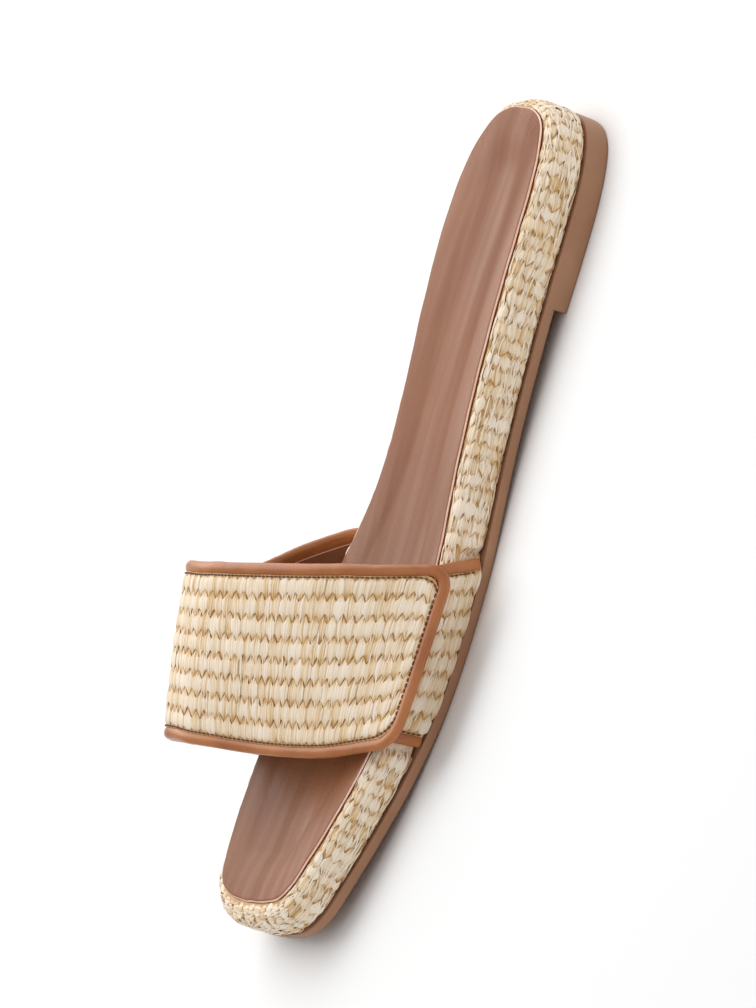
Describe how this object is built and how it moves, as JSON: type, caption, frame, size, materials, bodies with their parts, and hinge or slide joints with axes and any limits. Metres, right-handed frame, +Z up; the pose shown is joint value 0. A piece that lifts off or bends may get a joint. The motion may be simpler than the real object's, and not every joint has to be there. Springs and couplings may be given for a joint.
{
  "type": "woven flat sandal",
  "caption": "Flat slide sandal with a wide woven strap folded over the instep, a braided rim round a moulded leather footbed, and a low heel moulded into the sole.",
  "frame": {"origin": "on the floor under the middle of the whole sandal", "axes": "+Z up, -Y towards the toe, +X towards the outer side of a left foot"},
  "size_m": [0.114, 0.256, 0.0612],
  "materials": {
    "outsole": "smooth moulded, satin",
    "raffia": "woven raffia, matt with silky highlights",
    "footbed_leather": "smooth fine-grained, soft sheen",
    "binding_leather": "smooth satin piping"
  },
  "bodies": {
    "root": {"outsole": "outsole", "midsole": "raffia", "insole": "footbed_leather", "upper": "raffia", "flap_binding": "binding_leather", "lateral_binding_back": "binding_leather", "lateral_binding_front": "binding_leather", "medial_binding_back": "binding_leather", "medial_binding_front": "binding_leather"}
  },
  "joints": []
}
